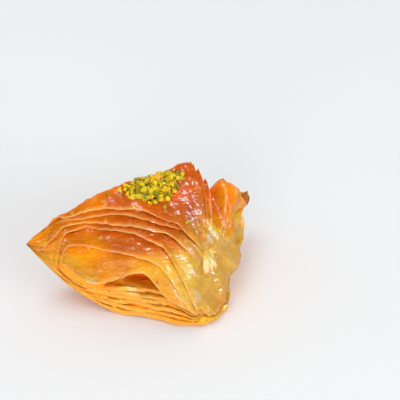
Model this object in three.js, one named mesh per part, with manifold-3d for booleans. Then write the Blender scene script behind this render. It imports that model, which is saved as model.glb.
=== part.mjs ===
// A folded baklava piece: a square stack of syrup-soaked phyllo leaves, folded corner to corner
// into a triangle over a soft middle, with chopped pistachio on its top.
// Millimetres, +X along the fold, +Y to the back (the fold), +Z up, resting on its lower flap.

import * as THREE from "three";
import { mergeVertices } from "three/addons/utils/BufferGeometryUtils.js";
import Module from "manifold-3d";

const wasm = await Module();
wasm.setup();

// ---------------------------------------------------------------- driving dimensions
const foldLeft = -38.5;          // left end of the fold, the pointed beak
const foldRight = 43.5;          // right end of the fold, where the leaves fan out
const ridgeTop = 41.6;           // height of the ridge above the table
const ridgePeak = 13;            // where along the fold the ridge is highest
const beakHeight = 22.9;         // height of the left tip above the table
const fanHeight = 20.6;          // height of the right tip above the table
const noseDepth = 40.2;          // from the fold to the pinched nose, front to back
const noseCentre = 11;           // where along the fold the nose is
const leafCount = 6;             // bundles of leaves that can be told apart
const topPitch = 2.0;            // from one bundle to the next in the upper flap
const bottomPitch = 2.5;         // and in the lower flap
const backPitch = 1.65;          // and at the fold
const leafFill = 0.58;           // share of the pitch that is pastry, the rest is air
const restHeight = 0.3;          // the lower flap is pressed flat up to here, and rests on that face
const middle = new THREE.Vector3(2.54, -20.23, restHeight);   // the origin, under the middle of the piece

// ---------------------------------------------------------------- small helpers
const unit = (value) => Math.min(1, Math.max(0, value));
const bell = (value, centre, width) => Math.exp(-(((value - centre) / width) ** 2));
const smooth = (value) => unit(value) ** 2 * (3 - 2 * unit(value));
const radians = THREE.MathUtils.degToRad;

function seededRandom(seed) {
  let state = seed;
  return () => {
    state = (state * 1664525 + 1013904223) % 4294967296;
    return state / 4294967296;
  };
}

// ---------------------------------------------------------------- the outline along the fold
function ridgeHeight(x) {
  const left = (ridgeTop - beakHeight) * unit((ridgePeak - x) / (ridgePeak - foldLeft)) ** 2.55;
  const right = (ridgeTop - fanHeight) * unit((x - ridgePeak) / (foldRight - ridgePeak)) ** 1.75;
  return ridgeTop - left - right;
}

function undersideHeight(x) {
  const left = beakHeight * unit((-x - 14) / 24.5) ** 1.8;
  const right = fanHeight * unit((x - 22) / 21.5) ** 1.5;
  return left + right;
}

function frontEdge(x) {
  const sides = [39.3 + x, noseDepth - 0.28 * x, 1.25 * (foldRight + 4 - x)];
  const sum = sides.reduce((total, side) => total + Math.max(side, 0.001) ** -14, 0);
  return -(sum ** (-1 / 14));
}

function crestLine(x) {
  return -6.5 * (1 - unit((-x - 5) / 33.5) ** 1.5) * (1 - 0.35 * unit((x - 25) / 18));
}

function mouthHeight(x) {
  return 8.5 + 0.8 * undersideHeight(x) - 2.5 * unit((-x - 14) / 24.5);
}

const nose = (x) => bell(x, noseCentre, 10);

const atNose = (x) => smooth(nose(x) * 1.7 - 0.35);

// What is left of a size when something is packed into it from outside.
const packed = (size, filling) => size ** 2 / (size + filling);

// A point of the bundle of leaves. phi goes round the fold in degrees: 0 is the middle of the back,
// 90 the ridge, 180 the front above the mouth, and negative values go under the piece to the front.
// level 0 is the outer face of the outermost leaf, and each whole number one leaf further in.
function sectionPoint(x, phi, level) {
  const cosine = Math.cos(radians(phi));
  const reach = Math.abs(cosine);
  const pinch = 1 - 0.35 * nose(x) * smooth((Math.abs(phi) - 100) / 50);
  const height = Math.max(ridgeHeight(x) - undersideHeight(x), 1.2);
  const lost = height - packed(height, level * (topPitch + bottomPitch));
  const high = undersideHeight(x) + height - (lost * topPitch * pinch) / (topPitch + bottomPitch);
  const low = undersideHeight(x) + (lost * bottomPitch) / (topPitch + bottomPitch);
  const depth = Math.max(-frontEdge(x), 1);
  const slack = depth / (depth + 5);
  const overhang = (phi > 0 ? (5.4 - level) * (1 - 0.85 * nose(x)) : 2.6 - level) * slack;
  const bundle = backPitch * (0.35 + 0.65 * unit((-x - 15) / 12));
  const fold = packed(depth, level * bundle) - depth;
  const front = -depth - overhang;
  const crest = fold + (front - fold) * Math.min(Math.max(-crestLine(x) / depth, 0.1), 0.5);
  const heart = (low + high) / 2;
  const lip = Math.min(Math.max(mouthHeight(x), 0.8 * low + 0.2 * high), 0.2 * low + 0.8 * high);
  const line = cosine < 0 ? heart + (lip - heart) * reach : heart;
  const y = cosine < 0 ? crest - (crest - front) * reach : crest + (fold - crest) * reach;
  const rise = (high - heart) * Math.sqrt(Math.max(1 - reach ** 2, 0));
  const fall = (line - low) * Math.max(1 - reach ** 6, 0) ** (1 / 6);
  return new THREE.Vector3(x, y, phi > 0 ? line + rise : line - fall);
}

// ---------------------------------------------------------------- how far each leaf reaches
const leafLeft = (leaf) => (leaf === 0 ? -36.5 : foldLeft + 2.0 * (leaf - 1));
const crestRight = (leaf) => foldRight - 24 * (1 - leaf / (leafCount - 1)) ** 1.35;
const leafRight = (leaf) => crestRight(leaf) + 0.75 * (foldRight + 0.1 - crestRight(leaf));

function upperRim(x, leaf) {
  const noseLeft = 10 - 0.65 * leaf ** 1.9;
  const noseRight = 10 + 3.6 * leaf;
  const noseRim = [137, 138, 140, 147, 153, 174][leaf];
  if (x > crestRight(leaf)) {
    return 90 * unit((leafRight(leaf) - x) / (leafRight(leaf) - crestRight(leaf))) ** 0.7;
  }
  let rim;
  if (x > noseRight) {
    const part = (x - noseRight) / (crestRight(leaf) - noseRight);
    rim = 90 + (noseRim - 90) * (1 - part ** (2 + 0.25 * leaf));
  } else {
    const slope = 96 + 0.27 * leaf ** 3 + (0.62 + 0.16 * leaf) * (x + 25);
    rim = slope + (noseRim - slope) * smooth((x - noseLeft + 7) / 7);
  }
  if (leaf === leafCount - 1) {
    rim += 45 * bell(x, -23, 5.5) - 7 * bell(x, -10, 4) + 18 * bell(x, -1, 4);
  }
  if (leaf === 0) {
    rim *= unit((x - leafLeft(0)) / 9) ** 0.6;
  } else {
    rim += (134 - rim) * atNose(x);
  }
  return Math.min(rim, 176);
}

function lowerRim(x, leaf) {
  const part = x < 0 ? (x - leafLeft(leaf)) / 5 : (leafRight(leaf) - x) / 7;
  return -(158 - 1.2 * leaf) * (leaf === 0 || x > 0 ? unit(part) ** 0.6 : 1);
}

// ---------------------------------------------------------------- solids
function solidFromGrid(rows, columns, outer, inner) {
  const size = rows * columns;
  const positions = [];
  for (const side of [outer, inner]) {
    for (let row = 0; row < rows; row += 1) {
      for (let column = 0; column < columns; column += 1) {
        positions.push(...side(row, column).toArray());
      }
    }
  }
  const index = [];
  const quad = (a, b, c, d) => index.push(a, b, c, a, c, d);
  const at = (row, column) => row * columns + column;
  for (let row = 0; row < rows - 1; row += 1) {
    for (let column = 0; column < columns - 1; column += 1) {
      const corners = [at(row, column), at(row, column + 1), at(row + 1, column + 1), at(row + 1, column)];
      quad(...corners);
      quad(...corners.map((corner) => corner + size).reverse());
    }
  }
  for (let row = 0; row < rows - 1; row += 1) {
    const last = columns - 1;
    quad(at(row + 1, 0), at(row + 1, 0) + size, at(row, 0) + size, at(row, 0));
    quad(at(row, last), at(row, last) + size, at(row + 1, last) + size, at(row + 1, last));
  }
  for (let column = 0; column < columns - 1; column += 1) {
    const last = rows - 1;
    quad(at(0, column), at(0, column) + size, at(0, column + 1) + size, at(0, column + 1));
    quad(at(last, column + 1), at(last, column + 1) + size, at(last, column) + size, at(last, column));
  }
  const geometry = new THREE.BufferGeometry();
  geometry.setAttribute("position", new THREE.Float32BufferAttribute(positions, 3));
  geometry.setIndex(index);
  return geometry;
}

function toManifold(geometry) {
  const bare = geometry.clone();
  bare.deleteAttribute("normal");
  bare.deleteAttribute("uv");
  const merged = mergeVertices(bare, 1e-4);
  const solid = new wasm.Manifold(new wasm.Mesh({
    numProp: 3,
    vertProperties: new Float32Array(merged.attributes.position.array),
    triVerts: new Uint32Array(merged.index.array),
  }));
  return solid;
}

function toGeometry(solid) {
  const mesh = solid.getMesh();
  const geometry = new THREE.BufferGeometry();
  geometry.setAttribute("position", new THREE.Float32BufferAttribute(mesh.vertProperties, 3));
  geometry.setIndex(Array.from(mesh.triVerts));
  geometry.computeVertexNormals();
  return geometry;
}

// One leaf, folded round the piece. Its rim flares out a little and waves.
function leafSolid(leaf) {
  const rows = 23;
  const columns = 13;
  const left = leafLeft(leaf);
  const right = leafRight(leaf);
  const point = (row, column, depth) => {
    const part = row / (rows - 1);
    const eased = (1 - Math.cos(Math.PI * part)) / 2;
    const x = left + (right - left) * (0.35 * eased + 0.65 * part);
    const across = (column / (columns - 1)) * 2 - 1;
    const rim = across > 0 ? Math.max(upperRim(x, leaf), 5 + leaf) : Math.min(lowerRim(x, leaf), -5 - leaf);
    const phi = Math.abs(across) * rim;
    const edge = smooth((Math.abs(across) - 0.6) / 0.4);
    const wave = Math.sin(0.42 * x + 2.1 * leaf) * 0.1 + Math.sin(0.93 * x + 1.3 * leaf) * 0.06;
    const flare = edge * (0.12 + wave) * (phi > 0 ? 1 : 0.5) * (1 - fused(x, phi));
    return sectionPoint(x, phi, Math.max(leaf - flare, -0.4) + depth);
  };
  return solidFromGrid(
    rows,
    columns,
    (row, column) => point(row, column, 0),
    (row, column) => point(row, column, leafFill),
  );
}

// How far the leaves are pinched into one at the nose.
function fused(x, phi) {
  const start = phi > 0 ? 128 : 120;
  return atNose(x) * smooth((Math.abs(phi) - start) / 14);
}

// The soaked middle, where the leaves have grown together. It stays back from the free rims,
// except at the nose, where everything is pinched into one.
function corePoint(x, phi) {
  const surface = sectionPoint(x, phi, 0.35 - 0.8 * fused(x, phi));
  const front = sectionPoint(x, 180, 0.35);
  const heart = new THREE.Vector3(x, crestLine(x) + 0.4 * (front.y - crestLine(x)), sectionPoint(x, 0, 0).z);
  heart.z = 0.7 * heart.z + 0.3 * front.z;
  const start = phi > 0 ? upperRim(x, 0) - 14 : 150;
  const past = smooth((Math.abs(phi) - start) / 30);
  const inset = past * ((phi > 0 ? 7.5 : 6) + 4 * bell(x, -13, 9)) * (1 - fused(x, phi));
  const distance = surface.distanceTo(heart);
  return surface.lerp(heart, Math.min(inset / distance, 0.7));
}

function coreSolid() {
  const rows = 18;
  const columns = 24;
  const left = foldLeft + 10.5;
  const right = foldRight - 8.7;
  const positions = [];
  const index = [];
  for (let row = 0; row < rows; row += 1) {
    const x = left + ((right - left) * row) / (rows - 1);
    for (let column = 0; column < columns; column += 1) {
      const phi = -180 + (360 * (column + 0.5)) / columns;
      positions.push(...corePoint(x, phi).toArray());
    }
  }
  for (let row = 0; row < rows - 1; row += 1) {
    for (let column = 0; column < columns; column += 1) {
      const next = (column + 1) % columns;
      const a = row * columns + column;
      const b = row * columns + next;
      index.push(a, b, b + columns, a, b + columns, a + columns);
    }
  }
  for (const row of [0, rows - 1]) {
    const ring = [...Array(columns).keys()].map((column) => row * columns + column);
    const centre = new THREE.Vector3();
    ring.forEach((corner) => centre.add(new THREE.Vector3().fromArray(positions, corner * 3)));
    const hub = positions.length / 3;
    positions.push(...centre.divideScalar(columns).toArray());
    ring.forEach((corner, place) => {
      const next = ring[(place + 1) % columns];
      index.push(...(row === 0 ? [hub, next, corner] : [hub, corner, next]));
    });
  }
  const geometry = new THREE.BufferGeometry();
  geometry.setAttribute("position", new THREE.Float32BufferAttribute(positions, 3));
  geometry.setIndex(index);
  return geometry;
}

// Chopped pistachio, angular crumbs in a low heap on the top leaf, and a few that rolled away.
const heap = { x: 2.2, phi: 95, halfLength: 10.8, halfWidth: 8, height: 1.9, crumbs: 50 };

function crumbGeometry(random, size) {
  const crumb = mergeVertices(new THREE.IcosahedronGeometry(size / 2, 0).deleteAttribute("normal")
    .deleteAttribute("uv"), 1e-3);
  const place = crumb.attributes.position;
  const stretch = [0.75 + 0.6 * random(), 0.7 + 0.5 * random(), 0.65 + 0.45 * random()];
  for (let corner = 0; corner < place.count; corner += 1) {
    const jitter = 0.8 + 0.4 * random();
    place.setXYZ(
      corner,
      place.getX(corner) * stretch[0] * jitter,
      place.getY(corner) * stretch[1] * jitter,
      place.getZ(corner) * stretch[2] * jitter,
    );
  }
  crumb.rotateX(6.28 * random());
  crumb.rotateZ(6.28 * random());
  return crumb;
}

function heapMound() {
  const mound = new THREE.SphereGeometry(1, 14, 8).deleteAttribute("normal").deleteAttribute("uv");
  mound.scale(heap.halfLength * 0.82, 3.6, heap.height * 0.8);
  mound.rotateX(radians(12));
  mound.rotateY(radians(-3));
  const seat = sectionPoint(heap.x, heap.phi, 0);
  mound.translate(seat.x, seat.y, seat.z - 0.2);
  return mound;
}

function crumbs() {
  const random = seededRandom(20);
  const pile = [];
  for (let count = 0; count < heap.crumbs; count += 1) {
    const angle = count * 2.39996;
    const out = Math.sqrt((count + 0.5) / heap.crumbs);
    const size = 1.7 + 0.9 * random();
    const x = heap.x + heap.halfLength * out * Math.cos(angle) + (random() - 0.5);
    const phi = heap.phi + heap.halfWidth * out * Math.sin(angle) + (random() - 0.5);
    const seat = sectionPoint(x, phi, 0);
    const lift = heap.height * (1 - out ** 2) + 0.2 * size;
    pile.push(crumbGeometry(random, size).translate(seat.x, seat.y - 0.25 * lift, seat.z + lift));
  }
  for (const [x, phi] of [[-6.8, 106], [-1, 104], [4, 107], [9.5, 119], [-12.5, 92]]) {
    const seat = sectionPoint(x, phi, 0);
    pile.push(crumbGeometry(random, 1.6).translate(seat.x, seat.y, seat.z + 0.3));
  }
  return pile;
}

function wholePiece() {
  const leaves = [...Array(leafCount).keys()].map(leafSolid);
  const solids = [coreSolid(), ...leaves, heapMound(), ...crumbs()].map(toManifold);
  const joined = solids.reduce((total, solid) => total.add(solid));
  const below = toManifold(new THREE.BoxGeometry(120, 120, 4).translate(0, 0, restHeight - 2));
  const bodies = joined.subtract(below).simplify(0.06).decompose().sort((first, second) => second.volume() - first.volume());
  return bodies[0];
}

const group = new THREE.Group();
const geometry = toGeometry(wholePiece());
const pastry = new THREE.Mesh(
  geometry,
  new THREE.MeshStandardMaterial({ color: 0xe0913a, roughness: 0.35, metalness: 0 }),
);
pastry.name = "pastry";
pastry.position.copy(middle).negate();
group.add(pastry);

export default group;
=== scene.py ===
"""A folded baklava piece, syrup-soaked phyllo leaves round a soft middle, with chopped pistachio on top.

The leaves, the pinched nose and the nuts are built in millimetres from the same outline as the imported
solid, then put into the frame of that solid, and stand in for it.

A place on the piece is given by three numbers. x runs along the fold in millimetres, from the pointed
beak on the left to the fanned end on the right. phi goes round the fold in degrees: 0 is the middle of
the back, 90 the ridge, 180 the front above the mouth, and negative values go under the piece to the
front. level counts the leaves inwards, and 0 is the outer face of the outermost leaf.
"""

import math

import bmesh
import bpy
import numpy as np
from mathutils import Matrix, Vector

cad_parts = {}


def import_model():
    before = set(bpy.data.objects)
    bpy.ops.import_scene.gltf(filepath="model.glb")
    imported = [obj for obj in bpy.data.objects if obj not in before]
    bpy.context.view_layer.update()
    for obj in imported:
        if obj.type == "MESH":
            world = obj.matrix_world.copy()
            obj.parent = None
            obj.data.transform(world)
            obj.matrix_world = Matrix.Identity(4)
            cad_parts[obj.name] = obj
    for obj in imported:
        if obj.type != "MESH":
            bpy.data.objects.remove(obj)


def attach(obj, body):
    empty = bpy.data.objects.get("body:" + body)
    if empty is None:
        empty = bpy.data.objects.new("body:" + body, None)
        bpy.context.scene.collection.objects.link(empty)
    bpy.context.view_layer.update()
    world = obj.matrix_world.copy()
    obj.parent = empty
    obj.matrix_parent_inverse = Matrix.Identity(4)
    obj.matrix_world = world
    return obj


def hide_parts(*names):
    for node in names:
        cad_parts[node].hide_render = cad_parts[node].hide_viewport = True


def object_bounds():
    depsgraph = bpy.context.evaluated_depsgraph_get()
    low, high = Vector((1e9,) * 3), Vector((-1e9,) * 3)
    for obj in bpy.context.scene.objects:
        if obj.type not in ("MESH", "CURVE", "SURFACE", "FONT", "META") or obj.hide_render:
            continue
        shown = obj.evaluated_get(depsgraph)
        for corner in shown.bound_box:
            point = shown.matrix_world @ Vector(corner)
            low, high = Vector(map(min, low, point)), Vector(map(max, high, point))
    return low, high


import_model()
CAD_LOW, CAD_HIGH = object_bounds()

# ---------------------------------------------------------------- driving dimensions, millimetres
FOLD_LEFT = -39.3        # left end of the fold, the pointed beak
FOLD_RIGHT = 43.5        # right end of the fold, where the leaves fan out
RIDGE_TOP = 41.6         # height of the ridge above the table
RIDGE_PEAK = 13.0        # where along the fold the ridge is highest
SADDLE_CENTRE = 5.0      # where along the fold the ridge sags under the nuts
SADDLE_WIDTH = 7.5       # how far the sag reaches to each side
SADDLE_DEPTH = 2.6
BEAK_HEIGHT = 22.9       # height of the left tip above the table
FAN_HEIGHT = 18.8        # height of the right tip above the table
BEAK_FALL = 2.55         # the larger, the later the ridge falls off towards the beak
FAN_FALL = 1.88          # and towards the fanned end
BEAK_LIFT = -14.0        # left of this the underside rises to the beak
FAN_LIFT = 22.0          # and right of this to the fanned end
NOSE_DEPTH = 40.2        # from the fold to the pinched nose, front to back
NOSE_CENTRE = 11.0       # where along the fold the nose is
NOSE_WIDTH = 10.0        # and how far it reaches to each side
CREST_DEPTH = 6.5        # how far in front of the fold the ridge lies
CREST_BEND = -5.0        # left of this it runs back to the fold
CORNER_SHARPNESS = 14.0  # of the corners seen from above
MOUTH_HEIGHT = 8.5       # height of the seam where the upper flap meets the lower one
MOUTH_CENTRE = -9.0      # where along the fold the seam opens into the mouth
MOUTH_WIDTH = 6.0        # how far the mouth reaches to each side
MOUTH_ARCH = 2.5         # how much higher the seam is there
MOUTH_SINK = 5.5         # and how much lower at the nose
LAST_LEAF = 5            # the leaves are counted from 0, the outermost
TOP_PITCH = 2.0          # from one leaf to the next in the upper flap
BOTTOM_PITCH = 2.1       # and in the lower flap, where it is thickest
BACK_PITCH = 1.65        # and at the fold
DEGREE_LENGTH = 0.4      # about how long one degree round the fold is
REST_HEIGHT = 0.3        # the lower flap is pressed flat up to here
SOLID_LEFT = -38.5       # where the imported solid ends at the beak
SOLID_BACK = 0.05        # and behind the fold

MIDDLE = np.array([
    SOLID_LEFT - CAD_LOW.x * 1000,
    SOLID_BACK - CAD_HIGH.y * 1000,
    REST_HEIGHT - CAD_LOW.z * 1000,
])                       # from the outline's own zero to the frame's origin

# ---------------------------------------------------------------- view
VIEW_AZIMUTH = -27.5     # degrees, from the front towards the left
VIEW_ELEVATION = 35.0
VIEW_LENS = 122.6        # millimetres
VIEW_SENSOR = 36         # millimetres wide
VIEW_PLACE = np.array([-154.4, -345.9, 292.4])


# ---------------------------------------------------------------- small helpers
def unit(value):
    return np.clip(value, 0.0, 1.0)


def smooth(value):
    value = unit(value)
    return value * value * (3 - 2 * value)


def past(value, start, length):
    """0 up to the start and 1 from one length after it on, with a soft step between."""
    return smooth((value - start) / length)


def before(value, end, length):
    """1 up to one length before the end and 0 from the end on, with a soft step between."""
    return smooth((end - value) / length)


def bell(value, centre, width):
    return np.exp(-(((value - centre) / width) ** 2))


def mix(first, second, share):
    return first + (second - first) * share


def lower_of(first, second, softness):
    """The smaller of two values, with the corner where they cross rounded off."""
    gap = unit(0.5 + 0.5 * (second - first) / softness)
    return mix(second, first, gap) - softness * gap * (1 - gap)


def ripple(first, second, seed, size):
    """Soft irregular waves between about -1 and 1, one wave about six sizes long."""
    random = np.random.default_rng(seed)
    total = 0.0
    for _ in range(6):
        turn = random.uniform(0, 2 * math.pi)
        pace = random.uniform(0.6, 1.7) / size
        phase = random.uniform(0, 2 * math.pi)
        total = total + np.sin(pace * (first * math.cos(turn) + second * math.sin(turn)) + phase)
    return total / 3.0


# ---------------------------------------------------------------- the outline along the fold
def ridge_height(x):
    to_beak = unit((RIDGE_PEAK - x) / (RIDGE_PEAK - FOLD_LEFT)) ** BEAK_FALL
    to_fan = unit((x - RIDGE_PEAK) / (FOLD_RIGHT - RIDGE_PEAK)) ** FAN_FALL
    saddle = SADDLE_DEPTH * bell(x, SADDLE_CENTRE, SADDLE_WIDTH)
    return RIDGE_TOP - (RIDGE_TOP - BEAK_HEIGHT) * to_beak - (RIDGE_TOP - FAN_HEIGHT) * to_fan - saddle


def underside_height(x):
    left = BEAK_HEIGHT * unit((BEAK_LIFT - x) / (BEAK_LIFT - FOLD_LEFT)) ** 1.8
    right = FAN_HEIGHT * unit((x - FAN_LIFT) / (FOLD_RIGHT - FAN_LIFT)) ** 1.5
    return left + right


def front_edge(x):
    """The front seen from above: three straight sides with their corners rounded, as a place on the
    y axis."""
    from_beak = 0.8 + x - FOLD_LEFT
    across_nose = NOSE_DEPTH - 0.28 * x
    to_fan = 1.25 * (FOLD_RIGHT + 4 - x)
    sides = [np.maximum(side, 0.001) for side in (from_beak, across_nose, to_fan)]
    return -sum(side ** -CORNER_SHARPNESS for side in sides) ** (-1 / CORNER_SHARPNESS)


def crest_line(x):
    """The ridge seen from above, as a place on the y axis."""
    beak = 1 - unit((CREST_BEND - x) / (CREST_BEND - SOLID_LEFT)) ** 1.5
    fan = 1 - 0.35 * unit((x - 25) / 18)
    return -CREST_DEPTH * beak * fan


def mouth_height(x):
    """The height of the seam, which rises over the open mouth and sinks to the nose."""
    seam = MOUTH_HEIGHT + MOUTH_ARCH * bell(x, MOUTH_CENTRE, MOUTH_WIDTH) - MOUTH_SINK * past(x, -6, 16)
    return seam + 0.8 * underside_height(x) - 3.5 * unit((BEAK_LIFT - x) / 12)


def nose(x):
    return bell(x, NOSE_CENTRE, NOSE_WIDTH)


# ---------------------------------------------------------------- how the leaves lie on each other
def packed(size, filling):
    """What is left of a size when something is packed into it from outside. It is never quite gone."""
    firmness = 2.5
    crowding = (np.maximum(filling, 0) / size) ** firmness
    return size - filling / (1 + crowding) ** (1 / firmness)


def bottom_pitch(x):
    """The lower leaves lie closer at the beak, and much closer at the nose."""
    beak = 1 - 0.45 * before(x, -12, 14)
    return BOTTOM_PITCH * beak * (1 - 0.65 * past(x, -6, 12))


def pressed(x, phi):
    """How far the leaves are pressed onto each other, at the pinched nose."""
    across = past(x, 1, 8) * before(x, 36, 10)
    fanned = past(x, 18, 8)
    return across * smooth((np.abs(phi) - 114 + 2 * fanned) / (26 + 12 * fanned))


def nose_creases(x, phi):
    """Folds where the leaves were pinched together, running down with the sweep of the leaves."""
    round_front = np.abs(phi)
    lean = 4.5
    across = x - (round_front - 150) / lean
    coarse = 0.9 - 1.9 * np.abs(ripple(across, round_front * 0.05, seed=9, size=1.3))
    fine = 0.4 * ripple(across, round_front * 0.08, seed=10, size=0.5)
    return (coarse + fine) * pressed(x, phi)


def seated_level(x, phi, level):
    """The level of a leaf once the leaves have closed up, at the beak, the fanned end and the nose."""
    beak = 1.8 * before(x, -18, 14) * unit(level / 2)
    fan = 1.8 * past(x, 28, 7) * unit(level / 3)
    level = level - beak - fan
    return mix(level, 0.1 + 0.12 * level, pressed(x, phi))


def leaf_heights(x, phi, level):
    """The lowest and the highest point of one leaf's section. Where the fan begins, the inner leaves
    lie in a notch behind the top ones. Towards the nose they are drawn together."""
    height = np.maximum(ridge_height(x) - underside_height(x), 1.2)
    lost = height - packed(height, level * (TOP_PITCH + bottom_pitch(x)))
    share = TOP_PITCH / (TOP_PITCH + bottom_pitch(x))
    pinch = 1 - 0.35 * nose(x) * past(np.abs(phi), 100, 50)
    notch = 7.5 * past(x, 18, 6) * (1 - 0.97 * past(x, 24.5, 6.5)) + 1.6 * past(x, 38, 3.5)
    inner = past(level, 0.7, 1) * (1 - pressed(x, phi))
    high = underside_height(x) + height - lost * share * pinch - notch * inner
    low = underside_height(x) + lost * (1 - share)
    return low, high


def overhang(x, phi, level):
    """How far a leaf's front stands out past the outline. The deeper it lies, the less it stands out,
    and at the nose the upper leaves run on into the lower ones."""
    upper = (5.4 - level) * (1 - 0.85 * nose(x)) * (1 - past(x, 12, 12))
    upper = upper + 0.7 * (5 - level) * past(x, 18, 8) * (1 - pressed(x, phi))
    lower = mix(1.0 - 1.05 * level, 3.4 - 1.4 * level, past(x, -10, 16))
    lower = lower * (1 - 1.3 * past(x, 17, 12))
    upper = mix(upper, lower, past(phi, 160, 20) * past(x, 3, 6))
    return np.where(phi > 0, upper, lower)


def leaf_depths(x, phi, level):
    """Where one leaf's section has its fold, its crest and its front, as places on the y axis."""
    depth = np.maximum(-front_edge(x), 1)
    slack = depth / (depth + 5)
    bundle = BACK_PITCH * (0.35 + 0.65 * unit((-x - 15) / 12))
    fold = packed(depth, level * bundle) - depth
    front = -depth - overhang(x, phi, level) * slack
    crest = fold + (front - fold) * np.clip(-crest_line(x) / depth, 0.1, 0.5)
    return fold, crest, front


def waist(x, phi):
    """How far the right side is drawn in, in millimetres: below the petals and at the nose's foot. It
    stands out at the knee between them."""
    petals = 4.4 * past(x, 27, 10) * bell(phi, 130, 12)
    dip = 3.0 * bell(x, 31.5, 3) * bell(phi, 152, 8)
    fan = 2.6 * past(x, 32, 4) * bell(phi, 152, 10)
    ankle = 1.2 * bell(x, 20.5, 3) * bell(phi, 170, 6)
    knee = -1.9 * bell(x, 24.5, 4.5) * bell(phi, 159, 8)
    foot = np.where(phi > 0, past(phi, 163, 12), before(phi, -100, 40))
    sides = petals + dip + fan + ankle + knee
    return sides + 2.3 * past(x, 13, 8) * foot + 1.4 * past(x, 22, 8) * foot


def section_point(x, phi, level, relief=0.0):
    """Points of the bundle of leaves. relief is how far a point stands out from its leaf, in
    millimetres."""
    x, phi, level = np.broadcast_arrays(x, phi, level)
    level = seated_level(x, phi, level)
    low, high = leaf_heights(x, phi, level)
    fold, crest, front = leaf_depths(x, phi, level)
    above = phi > 0
    cosine = np.cos(np.radians(phi))
    reach = np.abs(cosine)
    heart = (low + high) / 2
    lip = np.clip(mouth_height(x), 0.95 * low + 0.05 * high, 0.3 * low + 0.7 * high)
    line = np.where(cosine < 0, heart + (lip - heart) * reach, heart)
    y = np.where(cosine < 0, crest - (crest - front) * reach, crest + (fold - crest) * reach)
    rise = (high - heart) * np.sqrt(np.maximum(1 - reach ** 2, 0))
    fall = (line - low) * np.maximum(1 - reach ** 6, 0) ** (1 / 6)
    z = np.where(above, line + rise, line - fall)
    z = np.maximum(z + relief * np.sqrt(1 - reach ** 2) * np.where(above, 1, -1), REST_HEIGHT)
    return np.stack([x - waist(x, phi), y + relief * cosine, z], axis=-1)


# ---------------------------------------------------------------- how far each leaf reaches
BEAK_MOUTH = -31.0       # the leaves are closed to the left of this, and the innermost ones open here
LIP_CORNER = -24.8       # where the lip hangs lowest, between the beak and the open mouth
# One value for each leaf, from the outermost inwards:
LEAF_LEFT = (-36.5, -37.0, -38.6, -39.3, -39.2, -39.0)  # where each leaf starts at the beak
NOSE_START = (5.0, 6.5, 0.5, -1.5, -5.0, -9.8)          # where its rim begins to sweep to the nose
NOSE_SWEEP = (7.5, 7.5, 11.0, 6.5, 8.0, 7.0)            # and how far along the fold that takes
NOSE_RIM = (136, 139, 143, 180, 180, 180)               # how far round the fold it then lies, degrees
NOSE_END = (11.5, 13.0, 16.0, 24.0, 28.0, 30.0)         # where it leaves the nose for the fanned end
CREST_RIGHT = (19.0, 21.9, 31.5, 38.0, 41.5, 43.5)      # where it crosses the ridge there


def between(leaf, values):
    """A leaf's value from a list that has one for each leaf. leaf may be a fraction."""
    return float(np.interp(leaf, range(len(values)), values))


def leaf_left(leaf):
    return between(leaf, LEAF_LEFT)


def leaf_right(leaf):
    """At the back the leaf reaches further right than where it crosses the ridge."""
    crest = between(leaf, CREST_RIGHT)
    return crest + min(0.75 * (FOLD_RIGHT + 0.1 - crest), 9.0)


def arched_rim(x, start, start_phi, slope, least, most):
    """A rim that slopes down to the front from its start, and stays between two angles in degrees."""
    return lower_of(np.maximum(start_phi + slope * (x - start), least), most, 12)


def beak_turn(x, start, strength):
    """How far a rim turns down to close at the beak, left of its start, in degrees."""
    return strength * np.maximum(start - x, 0) ** 3


def top_leaf_rim(x):
    return 92 + 0.75 * (x + 27.4)


def third_leaf_rim(x):
    """This rim turns down at the beak more gently than the next two."""
    beak = 1.8 * (np.hypot(x + 28, 2) - (x + 28))
    return arched_rim(x, -25, 92, 1.35, 96, 116.5) + beak


def fourth_leaf_rim(x):
    return arched_rim(x, -23, 95, 1.5, 98, 125) + beak_turn(x, BEAK_MOUTH + 5.5, 0.17)


def fifth_leaf_rim(x):
    return arched_rim(x, -22.8, 111, 1.7, 110, 139) + beak_turn(x, BEAK_MOUTH + 5, 0.25)


def lip_rim(x):
    along = x - LIP_CORNER
    droop = 168 - 1.75 * np.maximum(along, 0) + 4.0 * np.minimum(along, 0)
    return np.maximum(droop, np.where(along < 0, 142, 146))


def upper_rim(x, leaf):
    """How far round the fold the leaf's free edge lies, over the top. leaf may be a fraction."""
    left_rims = (
        top_leaf_rim(x),
        top_leaf_rim(x) + 1.5,
        third_leaf_rim(x),
        fourth_leaf_rim(x),
        fifth_leaf_rim(x),
        lip_rim(x),
    )
    whole = min(int(leaf), LAST_LEAF - 1)
    left = mix(left_rims[whole], left_rims[whole + 1], leaf - whole)
    nose_rim = between(leaf, NOSE_RIM)
    left = mix(left, nose_rim, past(x, between(leaf, NOSE_START), between(leaf, NOSE_SWEEP)))
    nose_end = between(leaf, NOSE_END)
    crest = between(leaf, CREST_RIGHT)
    part = unit((x - nose_end) / (crest - nose_end))
    right = 90 + (nose_rim - 90) * (1 - part) ** mix(0.6, 0.3, past(leaf, 3, 1))
    behind = 90 * unit((leaf_right(leaf) - x) / (leaf_right(leaf) - crest)) ** 2
    rim = np.where(x > crest, behind, lower_of(left, right, 3))
    start = unit((x - leaf_left(leaf)) / 9) ** 0.6
    return np.clip(rim * mix(start, 1.0, smooth(leaf)), 0, 180)


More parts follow.
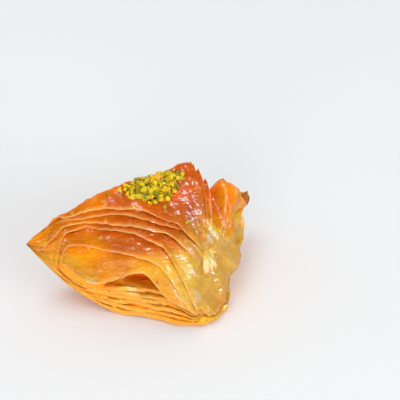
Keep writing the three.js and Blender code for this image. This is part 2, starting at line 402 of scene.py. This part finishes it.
def lower_rim(x, leaf):
    """How far round the fold the leaf's other free edge lies, under the piece, as a negative angle. It
    meets the upper edge at the beak and at the nose's foot, and almost at the corner of the mouth."""
    left_part = (x - leaf_left(leaf)) / 5
    right_part = (leaf_right(leaf) - x) / mix(7.0, 3.0, past(leaf, 3, 1))
    part = np.where(x < 0, left_part, right_part)
    ends = np.where((leaf < 0.5) | (x > 0), unit(part) ** 0.6, 1.0)
    beak = before(x, BEAK_MOUTH + 1.5, 2) * past(leaf, 1, 1)
    foot = past(x, 1, 4) * before(x, 36, 6)
    corner = 0.85 * before(x, -7, 8) * past(leaf, 3, 2)
    return -mix(158 - 1.2 * leaf, 180, unit(beak + foot + corner)) * ends


# ---------------------------------------------------------------- how it is browned and soaked
UPPER_BROWN = 0.55       # of the upper flap: 0 is pale straw and 1 is dark red-brown
LOWER_BROWN = 0.46       # of the lower flap
DARKEST_BROWN = 0.82     # only the burnt specks are darker
MILKY_AND_GLINT_BROWN = -0.15      # of the milky spots and of one painted highlight, past the pale end
PALE_CENTRE = 13.0       # the middle of the pale nose along the fold
PALE_TOP = 95.0          # and the angle that it widens from, towards the front
MILKY_AND_GLINT_SPOTS = (          # x, phi, and size in millimetres
    (5.2, 159, 3.0),
    (17.2, 129.5, 2.4),
    (14.0, 134, 1.8),
    # this one is a painted highlight of the syrup, not a milky spot
    (-1.6, 138, 1.3),
    (24.0, 127, 1.5),
    (-11.0, -168, 3.0),
    (-23.5, 161, 1.8),
)


def browning(x, phi, leaf):
    """How dark the oven left the dough. The top is the darkest, and the petals of the fan are paler
    towards their feet."""
    top = bell(phi, 103, 24) * bell(x, 4, 25)
    beak = 0.02 * before(x, -20, 18) * past(phi, 60, 30)
    front = past(phi, 118, 45) - 0.9 * bell(phi, 122, 16) * bell(x, -7, 13)
    upper = UPPER_BROWN + 0.38 * top - beak - 0.12 * front + 0.05 * np.sin(leaf * 2.3)
    petals = past(x, 20, 8) * past(phi, 60, 20)
    upper = upper - 0.16 * petals * past(phi, 104, 38) - 0.02 * petals - 0.05 * past(x, 34, 5)
    lower = LOWER_BROWN - 0.15 * before(phi, -130, 20) + 0.05 * before(leaf, 1.6, 1)
    value = np.where(phi < 0, lower, upper)
    broad = 0.07 * ripple(x, phi * DEGREE_LENGTH, seed=11, size=3.0)
    narrow = 0.05 * ripple(x, phi * DEGREE_LENGTH, seed=12, size=1.2)
    patches = (broad + narrow) * mix(0.3, 1.0, past(phi, 50, 30))
    # The milky spots, and one painted highlight among them, are mixed in last.
    return mix(np.minimum(value + patches, DARKEST_BROWN), MILKY_AND_GLINT_BROWN, milkiness_and_glint(x, phi))


def paleness(x, phi):
    """Where the dough stayed pale: the pinched nose and the feet of the leaves beside it."""
    right_reach = 0.24 * (phi - PALE_TOP)
    left_reach = np.minimum(0.5 * (phi - PALE_TOP), 18)
    reach = np.where(x > PALE_CENTRE, right_reach, left_reach)
    spread = smooth(1.5 - np.abs(x - PALE_CENTRE) / np.maximum(reach, 0.1))
    pale = spread * past(phi, 114, 26) * before(phi, 178, 10) * np.where(phi > 0, 1.0, 0.0)
    return pale * (1 - 0.85 * milkiness_and_glint(x, phi))


def milkiness_and_glint(x, phi):
    """Where a loose sheet lets air in, and the dough looks white rather than glassy. One small spot is a
    painted highlight of the syrup instead.
    """
    total = 0.0
    for spot_x, spot_phi, size in MILKY_AND_GLINT_SPOTS:
        total = total + bell(x, spot_x, size) * bell(phi, spot_phi, 2.6 * size)
    return unit(total * (0.85 + 0.35 * ripple(x, phi * DEGREE_LENGTH, seed=15, size=0.4)))


# ---------------------------------------------------------------- meshes
class Surface:
    """Gathers vertices, faces and the state of the dough at each vertex, and becomes one object."""

    def __init__(self):
        self.points = []
        self.faces = []
        self.states = []
        self.count = 0

    def add(self, points, faces, states):
        self.points.append(np.asarray(points).reshape(-1, 3))
        self.states.append(np.asarray(states).reshape(-1, 4))
        self.faces.extend((np.asarray(faces) + self.count).tolist())
        self.count += len(self.points[-1])

    def build(self, name, material, angular=False):
        points = (np.concatenate(self.points) - MIDDLE) / 1000
        states = np.concatenate(self.states)
        mesh = bpy.data.meshes.new(name)
        mesh.from_pydata(points.tolist(), [], self.faces)
        if angular:
            mesh.shade_flat()
        else:
            mesh.shade_smooth()
        attribute = mesh.attributes.new("state", "FLOAT_COLOR", "POINT")
        attribute.data.foreach_set("color", states.astype(np.float32).ravel())
        mesh.materials.append(material)
        piece = bpy.data.objects.new(name, mesh)
        bpy.context.scene.collection.objects.link(piece)
        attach(piece, "root")
        return piece


def dough_state(brown, rim, pale, inside):
    """What the dough's material reads at each vertex: how brown it is, how near a rim, how pale, and
    whether it is on the inner face of its leaf."""
    return np.stack(np.broadcast_arrays(brown, rim, pale, inside), axis=-1)


def grid_quads(rows, columns):
    corner = (np.arange(rows - 1)[:, None] * columns + np.arange(columns - 1)[None, :]).ravel()
    return np.stack([corner, corner + 1, corner + columns + 1, corner + columns], axis=1)


def shell_faces(rows, columns):
    """Quads of a closed sheet whose outer grid comes first and whose inner grid follows."""
    size = rows * columns
    quads = grid_quads(rows, columns)
    border = np.concatenate([
        np.arange(columns - 1),
        np.arange(rows - 1) * columns + columns - 1,
        np.arange(columns - 1, 0, -1) + (rows - 1) * columns,
        np.arange(rows - 1, 0, -1) * columns,
    ])
    after = np.roll(border, -1)
    rims = np.stack([after, border, border + size, after + size], axis=1)
    return np.concatenate([quads, quads[:, ::-1] + size, rims])


def tube_quads(rows, columns):
    """Quads of a tube that is open at both ends. Each row of the grid is a ring."""
    corner = (np.arange(rows - 1)[:, None] * columns + np.arange(columns)[None, :]).ravel()
    after = np.where(corner % columns == columns - 1, corner - columns + 1, corner + 1)
    return np.stack([corner, after, after + columns, corner + columns], axis=1)


# ---------------------------------------------------------------- the leaves
LEAF_ROWS = 170          # points of a leaf's mesh along the fold
LEAF_COLUMNS = 80        # and from its lower rim round the fold to its upper rim
LEAF_THICKNESS = 0.95    # as a share of the distance to the next leaf
UPPER_RIM_THICKNESS = 0.10
LOWER_RIM_THICKNESS = 0.85


def leaf_seed(leaf):
    return int(leaf * 10)


def wrinkles(x, phi, seed):
    """The waves that a leaf dried into, mostly along the fold, in millimetres."""
    long_waves = 0.24 * ripple(x * 0.45, phi * 0.42, seed=110 + seed, size=0.8)
    return long_waves + 0.12 * ripple(x, phi * 0.42, seed=130 + seed, size=0.55)


def raggedness(x, across, leaf, rim_leaf):
    """How far the torn rims stray from their line, in degrees. The lower rims are torn more."""
    long_tears = 1.5 * ripple(x, 0 * x, seed=40 + leaf_seed(leaf), size=2.6)
    short_tears = 0.6 * ripple(x, 0 * x, seed=60 + leaf_seed(leaf), size=0.45)
    torn = (long_tears + short_tears) * (1 + 1.2 * (across < 0))
    return torn * past(x, leaf_left(rim_leaf), 6) * before(x, between(rim_leaf, CREST_RIGHT), 5)


def leaf_grid(leaf, rim_leaf, held_back):
    """Places all over one leaf: x, phi, and how far across the leaf they are, from -1 at its lower rim
    over 0 at the fold to 1 at its upper rim. They lie closer together near the rims and the ends."""
    part = np.linspace(0, 1, LEAF_ROWS)[:, None]
    eased = (1 - np.cos(np.pi * part)) / 2
    left, right = leaf_left(rim_leaf), leaf_right(rim_leaf)
    x = left + (right - left) * (0.35 * eased + 0.65 * part)
    spread = np.linspace(-1, 1, LEAF_COLUMNS)[None, :]
    across = np.sign(spread) * (1 - (1 - np.abs(spread)) ** 1.35)
    ragged = raggedness(x, across, leaf, rim_leaf)
    high_rim = upper_rim(x, rim_leaf) - held_back * before(x, 15, 6)
    high_rim = np.maximum(high_rim + ragged * 0.6 * before(high_rim, 176, 6), 5 + leaf)
    low_rim = lower_rim(x, rim_leaf) + 2 * held_back
    low_rim = np.minimum(low_rim + ragged * past(low_rim, -176, 6), -5 - leaf)
    phi = np.where(across > 0, across * high_rim, -across * low_rim)
    return x + 0 * phi, phi, across


def leaf_flare(x, phi, across, leaf, rim_leaf):
    """How far the leaf springs out towards its rims, as a share of the distance to the next leaf. It
    springs out most in the petals of the fan."""
    edge = past(np.abs(across), 0.62, 0.38)
    broad = 0.11 * ripple(x, phi * 0.25, seed=80 + leaf_seed(leaf), size=2.4)
    narrow = 0.02 * ripple(x, phi * 0.25, seed=90 + leaf_seed(leaf), size=0.7)
    wave = (broad + narrow) * np.where(phi > 0, 1.0, 2.5)
    in_fan = smooth((x - between(rim_leaf, CREST_RIGHT) + 9) / 9)
    petal = 0.2 * in_fan * bell(phi, 88, 26) * smooth(leaf / 2)
    return edge * (0.20 + wave) * (1 - pressed(x, phi)) + petal * edge


def add_leaf(surface, leaf, rim_leaf, held_back):
    """One leaf folded round the piece. It is thick where it joins the others and thin at its rim."""
    x, phi, across = leaf_grid(leaf, rim_leaf, held_back)
    outwards = np.abs(across)
    shared = pressed(x, phi)
    dent = 0.10 * ripple(x, phi * DEGREE_LENGTH, seed=7, size=2.2)
    level = leaf - leaf_flare(x, phi, across, leaf, rim_leaf) + dent
    own_wrinkles = wrinkles(x, phi, leaf_seed(leaf))
    shared_wrinkles = 0.4 * wrinkles(x, np.abs(phi), 0)
    relief = nose_creases(x, phi) + mix(own_wrinkles, shared_wrinkles, shared)
    rim_thickness = np.where(across > 0, UPPER_RIM_THICKNESS, LOWER_RIM_THICKNESS)
    thickness = mix(LEAF_THICKNESS, rim_thickness, past(outwards, 0.55, 0.4))
    outer = section_point(x, phi, level, relief)
    inner = section_point(x, phi, level + thickness, relief)
    # The rims get a paler colour, partly their own and partly a painted highlight, and stripes for their
    # fine sheets.
    rim = past(outwards, 0.97, 0.03) * np.where(phi < 0, 0.45 * (1 - shared), 1.0)
    rim = rim * (1 - 0.8 * past(x, -8, 8) * before(leaf, 1.7, 1))
    colours = (browning(x, phi, leaf), rim, paleness(x, phi))
    states = np.stack([dough_state(*colours, 0.0), dough_state(*colours, 1.0)])
    surface.add(np.stack([outer, inner]), shell_faces(LEAF_ROWS, LEAF_COLUMNS), states)


# ---------------------------------------------------------------- the soaked middle and the torn flake
CORE_ROWS = 150
CORE_COLUMNS = 170
CORE_LEVEL = 5.4         # within the thickness of the innermost leaf
CORE_END = 8.0           # how far it stays back from both ends of the fold, millimetres
CORE_SHARE = 0.58        # how much of the depth it fills behind the open mouth
CORE_OPEN_BROWN = 0.72   # how brown it is there
CORE_CLOSED_BROWN = 0.4  # and where the leaves close over it
FLAKE_ROWS = 30
FLAKE_COLUMNS = 14
FLAKE_LEFT = 10.8        # the flake's left side along the fold
FLAKE_WIDTH = 5.6
FLAKE_TOP = 137.0        # how far round the fold it starts, degrees
FLAKE_FOOT = 148.0       # and where it is torn off
FLAKE_LEAN = 0.2         # how far it shifts to the left with each degree
FLAKE_LIFT = 0.7         # how far its torn edge stands off the nose
FLAKE_THICKNESS = 0.15
FLAKE_BROWN = -0.05


def add_core(surface):
    """The soaked middle, where the leaves have grown together. It stays back from the open mouth."""
    x = np.linspace(FOLD_LEFT + CORE_END, FOLD_RIGHT - CORE_END, CORE_ROWS)[:, None]
    phi = (-180 + 360 * (np.arange(CORE_COLUMNS) + 0.5) / CORE_COLUMNS)[None, :]
    x, phi = np.broadcast_arrays(x, phi)
    points = section_point(x, phi, CORE_LEVEL, nose_creases(x, phi) - 0.5 * pressed(x, phi))
    back = points[..., 1].max(axis=1, keepdims=True)
    closed = past(x, 1, 8) + before(x, -16, 6)
    points[..., 1] = back + (points[..., 1] - back) * mix(CORE_SHARE, 1.0, closed)
    brown = mix(CORE_OPEN_BROWN, CORE_CLOSED_BROWN, closed)
    state = dough_state(brown, 0.0, paleness(x, phi), 0.0)
    first = surface.count
    surface.add(points, tube_quads(CORE_ROWS, CORE_COLUMNS), state)
    surface.faces.append(list(range(first, first + CORE_COLUMNS))[::-1])
    surface.faces.append(list(range(surface.count - CORE_COLUMNS, surface.count)))


def add_flake(surface):
    """A torn sheet on the nose, loose along its lower edge."""
    part = np.linspace(0, 1, FLAKE_ROWS)[:, None]
    down = np.linspace(0, 1, FLAKE_COLUMNS)[None, :]
    teeth = 1.3 * ripple(40 * part, 0 * part, seed=17, size=1.0) + 1.8 * (part - 0.5) ** 2
    phi = FLAKE_TOP + (FLAKE_FOOT + teeth - FLAKE_TOP) * down
    x = FLAKE_LEFT + FLAKE_WIDTH * part - FLAKE_LEAN * (phi - 140)
    lift = nose_creases(x, phi) + 0.2 + FLAKE_LIFT * down ** 2
    outer = section_point(x, phi, 0.1, lift)
    inner = section_point(x, phi, 0.1, lift - FLAKE_THICKNESS)
    state = dough_state(FLAKE_BROWN, 0.0, smooth(1.2 - 2 * down) + 0 * phi, 0.0)
    faces = shell_faces(FLAKE_ROWS, FLAKE_COLUMNS)
    surface.add(np.stack([outer, inner]), faces, np.stack([state, state]))


# ---------------------------------------------------------------- chopped pistachio and burnt specks
HEAP_X = 2.9             # the middle of the heap along the fold
HEAP_PHI = 95.3          # and round it
HEAP_HALF_LENGTH = 11.0
HEAP_HALF_WIDTH = 8.5    # degrees
HEAP_HEIGHT = 1.8
HEAP_CRUMBS = 230        # in two layers
LAYER_CRUMBS = HEAP_CRUMBS // 2
GOLDEN_ANGLE = 2.39996   # radians from one crumb to the next, which spreads them evenly
STRAYS = ((-6.8, 106), (-1, 104), (4, 107), (9.5, 119), (-12.5, 92))    # x, phi
STRAY_SIZE = 1.6
CRUMB_CUTS = 7
CRUMB_ROUGHNESS = 0.09
SPECKS = ((-34.8, 104.0, 1.3), (-6.4, 153.5, 5.0), (19.8, 121.0, 0.2))  # x, phi, level
SPECK_SIZE = 0.66
SPECK_BROWN = 1.4        # past the end of the dough's own colours


def unit_ball():
    mesh = bpy.data.meshes.new("ball")
    ball = bmesh.new()
    bmesh.ops.create_icosphere(ball, subdivisions=2, radius=1.0)
    ball.to_mesh(mesh)
    ball.free()
    points = np.array([vertex.co[:] for vertex in mesh.vertices])
    faces = np.array([face.vertices[:] for face in mesh.polygons])
    bpy.data.meshes.remove(mesh)
    return points, faces


BALL = unit_ball()


def crumb_shape(random, size):
    """An angular chopped grain: a rough ball with a few flat cuts."""
    points, faces = BALL
    stretch = np.array([random.uniform(0.75, 1.35), random.uniform(0.7, 1.2), random.uniform(0.6, 1.05)])
    shaped = points.copy()
    for _ in range(CRUMB_CUTS):
        cut = random.normal(size=3)
        cut = cut / np.linalg.norm(cut)
        depth = random.uniform(0.35, 0.75)
        over = np.maximum(shaped @ cut - depth, 0)
        shaped = shaped - over[:, None] * cut
    rough = 1 + CRUMB_ROUGHNESS * random.normal(size=(len(shaped), 1))
    shaped = shaped * rough * stretch * size / 2
    turn, _ = np.linalg.qr(random.normal(size=(3, 3)))
    return shaped @ turn, faces


def add_crumb(surface, random, x, phi, size, offset):
    """One grain, moved by the offset from its place on the outermost leaf."""
    points, faces = crumb_shape(random, size)
    shade = np.tile([random.uniform(), random.uniform(), 0.0, 0.0], (len(points), 1))
    surface.add(points + section_point(x, phi, 0.0) + offset, faces, shade)


def add_crumbs(surface):
    """The heap, in two layers that wind outwards from its middle, and the strays beside it."""
    random = np.random.default_rng(5)
    for count in range(HEAP_CRUMBS):
        angle = count * GOLDEN_ANGLE
        out = math.sqrt((count % LAYER_CRUMBS + 0.5) / LAYER_CRUMBS)
        layer = count // LAYER_CRUMBS
        narrowed = 1 - 0.25 * layer
        x = HEAP_X + HEAP_HALF_LENGTH * out * math.cos(angle) * narrowed + random.normal() * 0.4
        phi = HEAP_PHI + HEAP_HALF_WIDTH * out * math.sin(angle) * narrowed + random.normal() * 0.5
        size = random.uniform(1.0, 1.75) ** 2
        lift = HEAP_HEIGHT * (1 - out ** 2) * (0.45 + 0.55 * layer) + 0.25 * size
        add_crumb(surface, random, x, phi, size, np.array([0, -0.25 * lift, lift]))
    for x, phi in STRAYS:
        add_crumb(surface, random, x, phi, STRAY_SIZE, np.array([0, 0, 0.4]))


def add_specks(surface):
    """Small burnt flecks on the leaves."""
    random = np.random.default_rng(8)
    for x, phi, level in SPECKS:
        points, faces = crumb_shape(random, SPECK_SIZE)
        state = np.tile([SPECK_BROWN, 0.0, 0.0, 0.0], (len(points), 1))
        surface.add(points + section_point(x, phi, level), faces, state)


# ---------------------------------------------------------------- materials
DOUGH_COLOURS = (
    (0.00, (0.95, 0.60, 0.24)),
    (0.14, (0.96, 0.44, 0.06)),
    (0.32, (0.98, 0.35, 0.010)),
    (0.55, (0.93, 0.215, 0.002)),
    (0.78, (0.66, 0.105, 0.003)),
    (0.95, (0.36, 0.055, 0.008)),
    (1.00, (0.08, 0.02, 0.006)),
)
PALE_DOUGH = (0.95, 0.41, 0.045)
# The rims' paler colour: partly the drier dough of the rims, partly a painted highlight along them.
RIM_AND_HIGHLIGHT_DOUGH = (0.96, 0.58, 0.20)
EDGE_DOUGH = (0.70, 0.22, 0.02)
# The colour of small pale spots: partly a blister in the glaze, partly a painted highlight of the syrup.
BLISTER_AND_GLINT_DOUGH = (0.93, 0.55, 0.30)
NUT_COLOURS = (
    (0.0, (0.07, 0.055, 0.001)),
    (0.3, (0.27, 0.215, 0.001)),
    (0.6, (0.60, 0.43, 0.001)),
    (0.85, (0.82, 0.55, 0.003)),
    (1.0, (0.74, 0.34, 0.01)),
)
PATCH_CONTRAST = 0.35    # how much the small patches differ in browning
RIM_AND_HIGHLIGHT_SHARE = 0.4          # how much of the rims' paler colour shows: partly their own, partly a painted highlight
EDGE_TURNS = 44.0        # radians of the stripes across a rim's thickness, which draw its fine sheets
EDGE_SHARE = 0.35
BLISTER_AND_GLINT_START = 0.64     # noise above this is a pale spot, partly a blister in the glaze and partly a painted highlight
BLISTER_AND_GLINT_SLOPE = 5.0
BLISTER_AND_GLINT_SHARE = 0.28


def new_material(name):
    material = bpy.data.materials.new(name)
    material.use_nodes = True
    return material, material.node_tree, material.node_tree.nodes["Principled BSDF"]


def add_node(tree, kind, **settings):
    node = tree.nodes.new(kind)
    for key, value in settings.items():
        if key in node.inputs:
            node.inputs[key].default_value = value
        else:
            setattr(node, key, value)
    return node


def connect(tree, value, socket):
    """Feeds a socket from another socket, or sets it to a number or a colour."""
    if hasattr(value, "links"):
        tree.links.new(value, socket)
    else:
        socket.default_value = (*value, 1) if isinstance(value, tuple) else value


def calculate(tree, operation, first, second=0.0):
    node = add_node(tree, "ShaderNodeMath", operation=operation)
    connect(tree, first, node.inputs[0])
    connect(tree, second, node.inputs[1])
    return node.outputs[0]


def blend_colour(tree, share, first, second):
    node = add_node(tree, "ShaderNodeMix", data_type="RGBA")
    connect(tree, share, node.inputs[0])
    connect(tree, first, node.inputs[6])
    connect(tree, second, node.inputs[7])
    return node.outputs[2]


def ramp(tree, factor, stops):
    node = tree.nodes.new("ShaderNodeValToRGB")
    elements = node.color_ramp.elements
    while len(elements) < len(stops):
        elements.new(0.5)
    for element, (place, colour) in zip(elements, stops):
        element.position = place
        element.color = (*colour, 1)
    tree.links.new(factor, node.inputs["Fac"])
    return node.outputs["Color"]


def noise_value(tree, cells, detail, seed):
    """Noise with so many cells a metre along X, Y and Z."""
    place = add_node(tree, "ShaderNodeTexCoord").outputs["Object"]
    stretch = add_node(tree, "ShaderNodeMapping", Scale=cells)
    node = add_node(tree, "ShaderNodeTexNoise", noise_dimensions="4D", Scale=1.0, Detail=detail, W=seed)
    tree.links.new(place, stretch.inputs["Vector"])
    tree.links.new(stretch.outputs["Vector"], node.inputs["Vector"])
    return node.outputs["Fac"]


def each_way(cells):
    return (cells, cells, cells)


def bumps(tree, height, strength, distance, below=None):
    """A normal with bumps as high as the distance, in metres, on top of another normal if there is one."""
    node = add_node(tree, "ShaderNodeBump", Strength=strength, Distance=distance)
    tree.links.new(height, node.inputs["Height"])
    if below:
        tree.links.new(below, node.inputs["Normal"])
    return node.outputs["Normal"]


def read_state(tree):
    """The four numbers that each vertex carries."""
    state = add_node(tree, "ShaderNodeAttribute", attribute_name="state")
    parts = add_node(tree, "ShaderNodeSeparateColor")
    tree.links.new(state.outputs["Color"], parts.inputs[0])
    return parts.outputs["Red"], parts.outputs["Green"], parts.outputs["Blue"], state.outputs["Alpha"]


def dough_colour(tree):
    """Browned dough, pale at the nose, with lighter rims that are partly a painted highlight, striped
    edges, and small pale spots that are partly a blister in its glaze and partly a painted highlight.
    """
    brown, rim, pale, inside = read_state(tree)
    patches = noise_value(tree, each_way(160.0), detail=4.0, seed=0.0)
    shift = calculate(tree, "MULTIPLY", calculate(tree, "SUBTRACT", patches, 0.5), PATCH_CONTRAST)
    brown = calculate(tree, "ADD", brown, shift)
    colour = blend_colour(tree, pale, ramp(tree, brown, DOUGH_COLOURS), PALE_DOUGH)
    # Pale the rims: partly their own colour, partly a painted highlight.
    colour = blend_colour(tree, calculate(tree, "MULTIPLY", rim, RIM_AND_HIGHLIGHT_SHARE), colour, RIM_AND_HIGHLIGHT_DOUGH)
    stripes = calculate(tree, "SINE", calculate(tree, "MULTIPLY", inside, EDGE_TURNS))
    edges = calculate(tree, "MULTIPLY", rim, calculate(tree, "ABSOLUTE", stripes))
    colour = blend_colour(tree, calculate(tree, "MULTIPLY", edges, EDGE_SHARE), colour, EDGE_DOUGH)
    # Small pale spots: partly a blister in the glaze, partly a painted highlight.
    blisters_and_glints = noise_value(tree, each_way(420.0), detail=1.0, seed=5.0)
    blisters_and_glints = calculate(tree, "MAXIMUM", calculate(tree, "SUBTRACT", blisters_and_glints, BLISTER_AND_GLINT_START), 0.0)
    blisters_and_glints = calculate(tree, "MULTIPLY", blisters_and_glints, BLISTER_AND_GLINT_SLOPE)
    return blend_colour(tree, calculate(tree, "MINIMUM", blisters_and_glints, BLISTER_AND_GLINT_SHARE), colour, BLISTER_AND_GLINT_DOUGH)


def phyllo_material():
    material, tree, shader = new_material("phyllo")
    tree.links.new(dough_colour(tree), shader.inputs["Base Color"])
    shader.inputs["Subsurface Weight"].default_value = 0.55
    shader.inputs["Subsurface Radius"].default_value = (1.0, 0.42, 0.12)
    shader.inputs["Subsurface Scale"].default_value = 0.0022
    gloss = noise_value(tree, each_way(420.0), detail=2.0, seed=3.0)
    rough = calculate(tree, "ADD", calculate(tree, "MULTIPLY", gloss, 0.25), 0.22)
    tree.links.new(rough, shader.inputs["Roughness"])
    shader.inputs["Specular IOR Level"].default_value = 0.04
    shader.inputs["Coat Weight"].default_value = 0.6
    shader.inputs["Coat Roughness"].default_value = 0.10
    grain = noise_value(tree, each_way(520.0), detail=5.0, seed=7.0)
    grain = bumps(tree, grain, strength=0.35, distance=0.0004)
    folds = noise_value(tree, (170.0, 480.0, 480.0), detail=3.0, seed=8.0)
    folds = bumps(tree, folds, strength=1.0, distance=0.0009, below=grain)
    tree.links.new(folds, shader.inputs["Normal"])
    tree.links.new(folds, shader.inputs["Coat Normal"])
    return material


def pistachio_material():
    """Each grain has its own shade, from dark green skin to yellow-green flesh."""
    material, tree, shader = new_material("pistachio")
    own_shade, _, _, _ = read_state(tree)
    patches = noise_value(tree, each_way(900.0), detail=3.0, seed=0.0)
    patches = calculate(tree, "MULTIPLY", patches, 0.5)
    shade = calculate(tree, "ADD", calculate(tree, "MULTIPLY", own_shade, 0.95), patches)
    colour = ramp(tree, calculate(tree, "SUBTRACT", shade, 0.12), NUT_COLOURS)
    tree.links.new(colour, shader.inputs["Base Color"])
    shader.inputs["Subsurface Weight"].default_value = 0.25
    shader.inputs["Subsurface Radius"].default_value = (0.8, 0.9, 0.3)
    shader.inputs["Subsurface Scale"].default_value = 0.0006
    shader.inputs["Roughness"].default_value = 0.55
    shader.inputs["Specular IOR Level"].default_value = 0.2
    grain = noise_value(tree, each_way(1800.0), detail=3.0, seed=2.0)
    grain = bumps(tree, grain, strength=0.5, distance=0.0002)
    tree.links.new(grain, shader.inputs["Normal"])
    return material


# ---------------------------------------------------------------- floor, light and camera
FLOOR_SIZE = 3.0         # metres
FLOOR_COLOUR = (0.74, 0.755, 0.765, 1)
WORLD_BRIGHTNESS = 0.84


def add_floor():
    bpy.ops.mesh.primitive_plane_add(size=FLOOR_SIZE, location=(0, 0, 0))
    floor = bpy.context.object
    floor.name = "floor"
    material, _, shader = new_material("floor")
    shader.inputs["Base Color"].default_value = FLOOR_COLOUR
    shader.inputs["Roughness"].default_value = 0.9
    shader.inputs["Specular IOR Level"].default_value = 0.0
    floor.data.materials.append(material)


def add_area_light(name, place, size, power, reflected=False):
    """A light aimed at the piece. It either lights the dough or is only reflected in the syrup."""
    light = bpy.data.lights.new(name, "AREA")
    light.size = size
    light.energy = power
    lamp = bpy.data.objects.new(name, light)
    lamp.location = place
    aim = -lamp.location
    lamp.rotation_euler = aim.to_track_quat("-Z", "Y").to_euler()
    lamp.visible_glossy = reflected
    lamp.visible_diffuse = not reflected
    bpy.context.scene.collection.objects.link(lamp)


def add_lights():
    add_area_light("top_softbox", (-0.15, 0.15, 0.75), 0.4, 1.0)
    add_area_light("left_fill", (-0.9, -1.05, 0.3), 0.9, 11.0)
    add_area_light("right_fill", (0.6, -1.2, 0.3), 0.9, 11.0)
    add_area_light("window", (0.15, 0.15, 0.85), 0.12, 5.5, reflected=True)
    add_area_light("lamp", (0.25, -0.5, 0.65), 0.10, 5.0, reflected=True)
    add_area_light("low_lamp", (0.17, -0.80, 0.30), 0.10, 6.0, reflected=True)
    add_area_light("left_lamp", (-0.80, -0.46, 0.32), 0.06, 1.5, reflected=True)


def add_world():
    world = bpy.data.worlds.new("studio")
    world.use_nodes = True
    world.node_tree.nodes["Background"].inputs["Color"].default_value = (1, 1, 1, 1)
    world.node_tree.nodes["Background"].inputs["Strength"].default_value = WORLD_BRIGHTNESS
    bpy.context.scene.world = world
    world.cycles_visibility.glossy = False
    bpy.context.scene.view_settings.view_transform = "Standard"


def add_camera():
    camera = bpy.data.cameras.new("camera")
    camera.lens = VIEW_LENS
    camera.sensor_width = VIEW_SENSOR
    view = bpy.data.objects.new("camera", camera)
    view.location = (VIEW_PLACE - MIDDLE) / 1000
    view.rotation_euler = (math.radians(90 - VIEW_ELEVATION), 0, math.radians(VIEW_AZIMUTH))
    bpy.context.scene.collection.objects.link(view)
    bpy.context.scene.camera = view


# ---------------------------------------------------------------- the whole scene
# Each leaf: how deep it lies, whose rim it follows, and how far it is held back from that rim, degrees.
LEAF_PIECES = {
    "outer_leaves": ((0, 0, 0), (0.4, 0.3, 7), (1, 0.9, 0)),
    "second_leaves": ((1.5, 1.2, 7), (2, 2, 0), (2.5, 2.1, 9)),
    "third_leaves": ((3, 3, 0), (3.5, 3.1, 9), (4, 4, 0)),
    "lip_leaf": ((5, 5, 0),),
}


def build_leaves(phyllo):
    pieces = []
    for name, leaves in LEAF_PIECES.items():
        surface = Surface()
        for leaf, rim_leaf, held_back in leaves:
            add_leaf(surface, leaf, rim_leaf, held_back)
        pieces.append(surface.build(name, phyllo))
    return pieces


def build_middle(phyllo):
    middle = Surface()
    add_core(middle)
    add_flake(middle)
    add_specks(middle)
    return middle.build("middle", phyllo)


def build_pistachio():
    nuts = Surface()
    add_crumbs(nuts)
    return nuts.build("pistachio", pistachio_material(), angular=True)


phyllo = phyllo_material()
for piece in [*build_leaves(phyllo), build_middle(phyllo), build_pistachio()]:
    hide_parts("pastry")
add_floor()
add_lights()
add_world()
add_camera()
